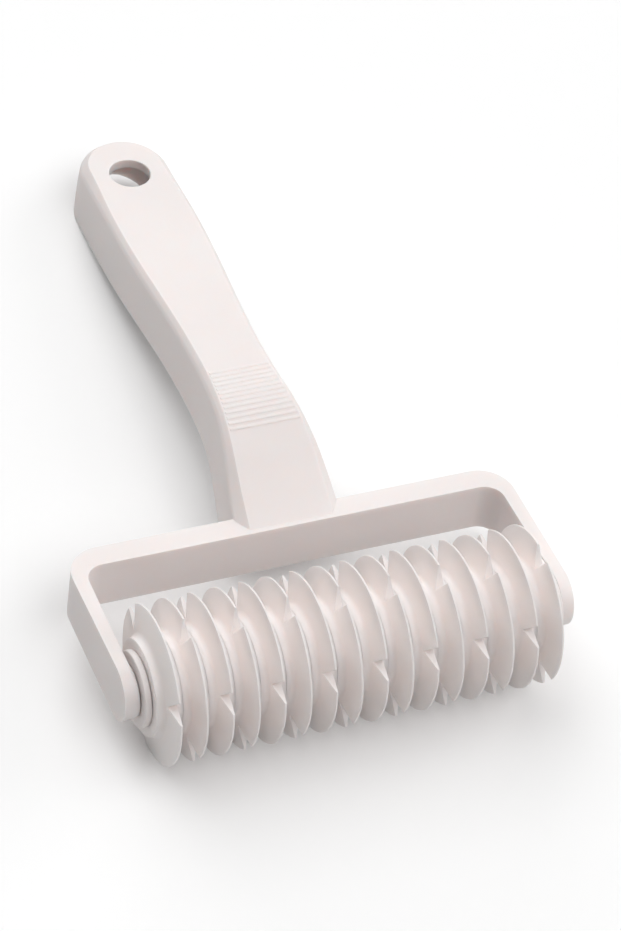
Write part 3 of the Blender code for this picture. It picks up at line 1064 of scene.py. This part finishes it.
@dataclass
class Discs:
    """The cutting discs: one notched, tapered disc, copied along the axle."""

    roller: RollerSizes
    finish: PlasticFinish
    rim_land: float = 0.0005
    blade_root: float = 0.0030
    hub_radius: float = 0.0125
    notch_count: int = 3
    notch_width: float = 0.0062
    notch_floor: float = 0.0016
    notch_angle: float = math.radians(33.0)
    hub_gap: float = 0.00003
    edge_round: float = 0.00012
    hub_round: float = 0.00010
    edge_steps: int = 2
    root_fillet: float = 0.0012
    fillet_steps: int = 4
    round_steps: int = 96

    def blank(self) -> Piece:
        """Shape a disc before its notches: a thin rim, tapered faces and a long hub.

        Returns:
            The blank, round the X axis.
        """
        rim = self.roller.rim_radius
        disc = Bench.rod("disc", rim, -self.rim_land / 2, self.rim_land / 2, self.round_steps)
        Bench.shape()
        hub_length = (self.roller.disc_pitch - self.hub_gap - self.blade_root) / 2
        for side in (-1, 1):
            Bench.pick(lambda spot: spot.x * side > 0)
            Bench.soften(self.edge_round, self.edge_steps)
            Bench.pick(lambda spot: spot.x * side > self.rim_land / 2 - TINY)
            bpy.ops.mesh.inset(thickness=rim - self.edge_round - self.hub_radius,
                               depth=(self.blade_root - self.rim_land) / 2)
            Bench.pull(across=side * hub_length)
            Bench.soften(self.hub_round, self.edge_steps)
            Bench.pick(lambda spot: abs(spot.x * side - self.blade_root / 2) < TINY
                       and math.hypot(spot.y, spot.z) < self.hub_radius + TINY)
            Bench.soften(self.root_fillet, self.fillet_steps)
        Bench.tidy()
        return disc

    def notch(self, index: int) -> Piece:
        """Make a V-shaped wedge that cuts the blade down to a little above its hub.

        Args:
            index: Which of the disc's notches it is.

        Returns:
            The wedge.
        """
        turn = self.notch_angle + math.tau * index / self.notch_count
        floor = self.hub_radius + self.notch_floor
        rim = self.roller.rim_radius
        reach = rim + OVERRUN
        spread = self.notch_width / 2 * (reach - floor) / (rim - floor)
        out = Vector((-self.blade_root, -math.cos(turn), math.sin(turn)))
        aside = Vector((0, out.z, -out.y))
        lift = Vector((1, reach, reach))
        corners = [out * Vector((1, floor, floor)), out * lift + aside * spread,
                   out * lift - aside * spread]
        return Bench.block("notch", corners, (2 * self.blade_root, 0, 0))

    def build(self) -> Iterator[Piece]:
        """Thread the discs on the axle, each a sixth of a turn round from the last.

        Returns:
            The dressed discs, one by one.
        """
        disc = self.blank()
        for index in range(self.notch_count):
            Bench.combine(disc, self.notch(index), Cut.REMOVE)
        Bench.combine(disc, self.roller.bore(self.roller.disc_pitch), Cut.REMOVE)
        pitch = self.roller.disc_pitch
        first = -(self.roller.disc_count - 1) * pitch / 2
        for index in range(self.roller.disc_count):
            Bench.hold(disc)
            bpy.ops.object.duplicate()
            copy = bpy.context.object
            copy.name = f"slit_disc_{index + 1:02d}"
            Bench.place(copy, (index % 2) * math.pi / self.notch_count,
                        AXLE_PLACE + Vector((first + index * pitch, 0, 0)))
            Bench.smooth(copy)
            self.finish.dress(copy, Slot.DISC, Body.ROLLER, f"cutting_disc_{index + 1:02d}")
            yield copy
        bpy.data.objects.remove(disc, do_unlink=True)


@dataclass
class Collars:
    """The thin end collars that keep the discs on the axle."""

    roller: RollerSizes
    finish: PlasticFinish
    radius: float = 0.0098
    edge_round: float = 0.0003
    edge_steps: int = 3
    round_steps: int = 96

    def build(self) -> Iterator[Piece]:
        """Turn a collar and put one at each end of the stack.

        Returns:
            The dressed collars, one by one.
        """
        half = self.roller.collar_thickness / 2
        middle = self.roller.collar_inner + half
        for side, word in ((-1, "left"), (1, "right")):
            collar = Bench.rod(f"{word}_keeper_collar", self.radius, -half, half,
                               self.round_steps)
            Bench.shape()
            for face in (-1, 1):
                Bench.pick(lambda spot: spot.x * face > self.edge_round)
                Bench.soften(self.edge_round, self.edge_steps)
            Bench.tidy()
            Bench.combine(collar, self.roller.bore(self.roller.disc_pitch), Cut.REMOVE)
            Bench.place(collar, 0.0, AXLE_PLACE + Vector((side * middle, 0, 0)))
            Bench.smooth(collar)
            self.finish.dress(collar, Slot.COLLAR, Body.ROLLER, f"{word}_end_collar")
            yield collar


@dataclass
class Axle:
    """The hexagonal axle, kept from the frame with a better finish."""

    finish: PlasticFinish

    def build(self) -> Piece:
        """Dress the frame's own axle.

        Returns:
            The axle's node.
        """
        axle = frame["nodes"]["hex_axle"]
        material = self.finish.material()
        for slot in axle.material_slots:
            slot.material = material
        return axle


@dataclass(frozen=True)
class Lamp:
    """A broad lamp that shines on the part, with its angles in degrees, azimuth from the right."""

    name: str
    azimuth: float
    elevation: float
    energy: float
    breadth: float = 48.0

    def hang(self) -> None:
        """Hang the lamp and turn it to the part."""
        light = bpy.data.lights.new(self.name, "SUN")
        light.energy = self.energy
        light.angle = math.radians(self.breadth)
        lamp = bpy.data.objects.new(self.name, light)
        bpy.context.scene.collection.objects.link(lamp)
        turn, rise = math.radians(self.azimuth), math.radians(self.elevation)
        way = Vector((math.cos(turn) * math.cos(rise), math.sin(turn) * math.cos(rise),
                      math.sin(rise)))
        lamp.location = way
        lamp.rotation_euler = (-way).to_track_quat("-Z", "Y").to_euler()


@dataclass
class Studio:
    """A pale floor, a white surround, soft lamps and the camera at the photograph's angle."""

    floor_size: float = 6.0
    floor_tone: float = 0.80
    floor_lift: float = 0.04
    lamps: tuple[Lamp, ...] = (
        Lamp("back_left", 135.0, 55.0, 0.82),
        Lamp("back_high", 90.0, 55.0, 0.30),
        Lamp("overhead", 0.0, 90.0, 0.34),
        Lamp("front_right", 315.0, 55.0, 0.77),
        Lamp("right", 0.0, 25.0, 0.76),
        Lamp("back", 90.0, 25.0, 0.82),
        Lamp("front", 270.0, 55.0, 0.55),
    )
    camera_place: Triple = (-0.348371, -0.599696, 0.854702)
    camera_turn: Triple = (38.23528, -9.14667, -20.62266)
    lens: float = 161.339
    sensor: float = 36.0

    def floor(self) -> None:
        """Lay a pale floor that reads as white to the camera where no shadow falls."""
        Bench.clear()
        bpy.ops.mesh.primitive_plane_add(size=self.floor_size)
        floor = bpy.context.object
        floor.name = "floor"
        material = bpy.data.materials.new("floor_paper")
        material.use_nodes = True
        tree = material.node_tree
        tree.nodes.clear()
        seen = tree.nodes.new("ShaderNodeLightPath").outputs["Is Camera Ray"]
        tone = feed(tree, tree.nodes.new("ShaderNodeMapRange"), {
            "Value": seen, "To Min": self.floor_tone})
        lift = feed(tree, tree.nodes.new("ShaderNodeMapRange"), {
            "Value": seen, "To Max": self.floor_lift})
        paper = feed(tree, tree.nodes.new("ShaderNodeBsdfDiffuse"), {
            "Color": tone.outputs["Result"]})
        glow = feed(tree, tree.nodes.new("ShaderNodeEmission"), {
            "Strength": lift.outputs["Result"]})
        both = feed(tree, tree.nodes.new("ShaderNodeAddShader"), {
            0: paper.outputs["BSDF"], 1: glow.outputs["Emission"]})
        feed(tree, tree.nodes.new("ShaderNodeOutputMaterial"), {"Surface": both.outputs["Shader"]})
        floor.data.materials.append(material)

    def surround(self) -> None:
        """Show white behind the part, in its gloss and through it, and light nothing with it."""
        world = bpy.data.worlds.new("white_surround")
        bpy.context.scene.world = world
        world.use_nodes = True
        tree = world.node_tree
        path = tree.nodes.new("ShaderNodeLightPath")
        seen = path.outputs["Is Camera Ray"]
        for ray in ("Is Glossy Ray", "Is Transmission Ray"):
            either = feed(tree, tree.nodes.new("ShaderNodeMath"), {0: seen, 1: path.outputs[ray]})
            either.operation = "MAXIMUM"
            seen = either.outputs["Value"]
        feed(tree, tree.nodes["Background"], {"Color": (1.0, 1.0, 1.0, 1.0), "Strength": seen})

    def camera(self) -> None:
        """Set up the camera at the photograph's viewing angle."""
        data = bpy.data.cameras.new("camera")
        data.lens = self.lens
        data.sensor_width = self.sensor
        camera = bpy.data.objects.new("camera", data)
        bpy.context.scene.collection.objects.link(camera)
        camera.location = self.camera_place
        camera.rotation_euler = [math.radians(turn) for turn in self.camera_turn]
        bpy.context.scene.camera = camera

    def build(self) -> None:
        """Set up everything round the part."""
        self.floor()
        self.surround()
        for lamp in self.lamps:
            lamp.hang()
        self.camera()
        bpy.context.scene.view_settings.view_transform = "Standard"


def report(piece: Piece) -> None:
    """Log a finished piece with its number of faces."""
    LOG.info("%s: %d faces", piece.name, len(piece.data.polygons))


def main() -> None:
    """Build every piece of the pastry cutter and the studio round it."""
    logging.basicConfig(level=logging.INFO, format="%(name)s: %(message)s")
    roller = RollerSizes()
    yoke = Yoke(roller)
    frame_finish = PlasticFinish("warm_white_moulding", (0.87, 0.815, 0.80),
                                 milk_reach=(0.0016, 0.0013, 0.0012))
    disc_finish = PlasticFinish("disc_white", (0.95, 0.88, 0.86), 0.35, milkiness=0.6,
                                milk_reach=(0.0028, 0.0024, 0.0022))
    collar_finish = PlasticFinish("collar_white", (0.87, 0.80, 0.78), milkiness=0.5)
    axle_finish = PlasticFinish("axle_white", (0.90, 0.85, 0.84), 0.40)
    report(HandleFrame(yoke, Grip(yoke), frame_finish).build())
    for disc in Discs(roller, disc_finish).build():
        report(disc)
    for collar in Collars(roller, collar_finish).build():
        report(collar)
    report(Axle(axle_finish).build())
    Studio().build()


if __name__ == "__main__":
    main()
